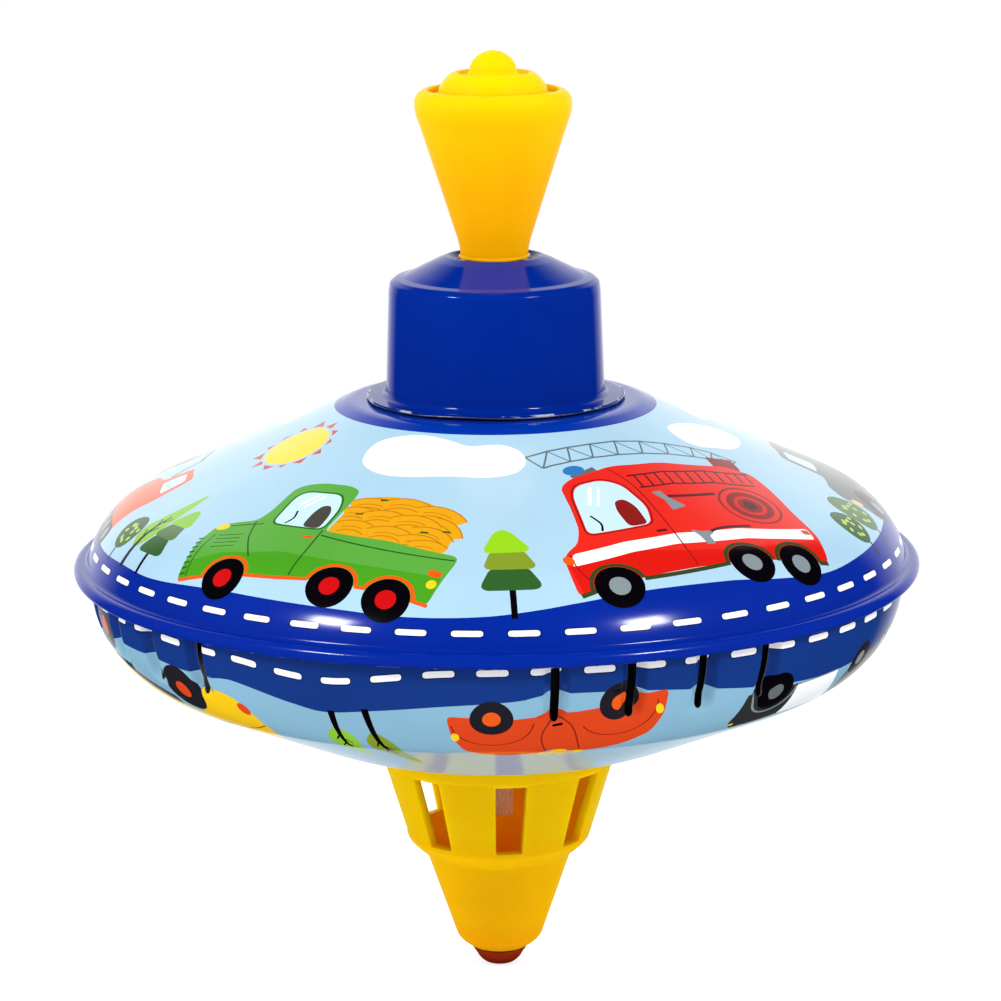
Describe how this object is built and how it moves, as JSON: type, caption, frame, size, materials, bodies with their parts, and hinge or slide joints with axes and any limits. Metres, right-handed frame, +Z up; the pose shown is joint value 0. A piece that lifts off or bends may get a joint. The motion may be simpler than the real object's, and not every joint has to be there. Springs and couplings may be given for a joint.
{
  "type": "spinning top",
  "caption": "Tin humming top: two pressed shells with a rolled rim, slotted underside, basket foot with a tip, and a knob on a spiral rod that is pushed down to spin it.",
  "frame": {"origin": "centre of the tip's flat underside, on the spin axis", "axes": "+Z up the spin axis towards the knob, -Y the side that faces the viewer, +X to the viewer's right"},
  "size_m": [0.19, 0.19, 0.21],
  "materials": {
    "sky_tin": "glossy printed tin",
    "blue_tin": "glossy enamel",
    "yellow_plastic": "semi-gloss",
    "white_plastic": "satin",
    "steel": "bright",
    "brass": "satin"
  },
  "bodies": {
    "top_body": {"upper_shell": "sky_tin", "lower_shell": "sky_tin", "collar_cap": "blue_tin", "clutch_cage": "steel", "cage_rivet_1": "steel", "cage_rivet_2": "steel", "cage_rivet_3": "steel", "cage_rivet_4": "steel", "clutch_seat": "brass", "guide_tube": "steel", "lower_bush": "white_plastic", "foot": "yellow_plastic", "tip_plug": "yellow_plastic"},
    "neck_bush": {"guide_bush": "white_plastic"},
    "handle": {"knob_shell": "yellow_plastic", "knob_cap": "yellow_plastic", "knob_pin": "steel", "twisted_rod": "steel", "stop_pin": "steel"},
    "driver": {"driver_disc": "steel"}
  },
  "joints": [
    {"name": "handle_turn", "type": "hinge", "parent": "top_body", "child": "neck_bush", "pos_m": [0, 0, 0.1632], "axis": [0, 0, 1], "continuous": true},
    {"name": "handle_stroke", "type": "slide", "parent": "neck_bush", "child": "handle", "axis": [0, 0, 1], "range_m": [0, 0.077]},
    {"name": "driver_twist", "type": "hinge", "parent": "neck_bush", "child": "driver", "pos_m": [0, 0, 0.14], "axis": [0, 0, 1], "range_deg": [-693.5, 0.5]}
  ],
  "couplings": [
    {"joint": "driver_twist", "follows": "handle_stroke", "rad_per_m": -157.08}
  ]
}
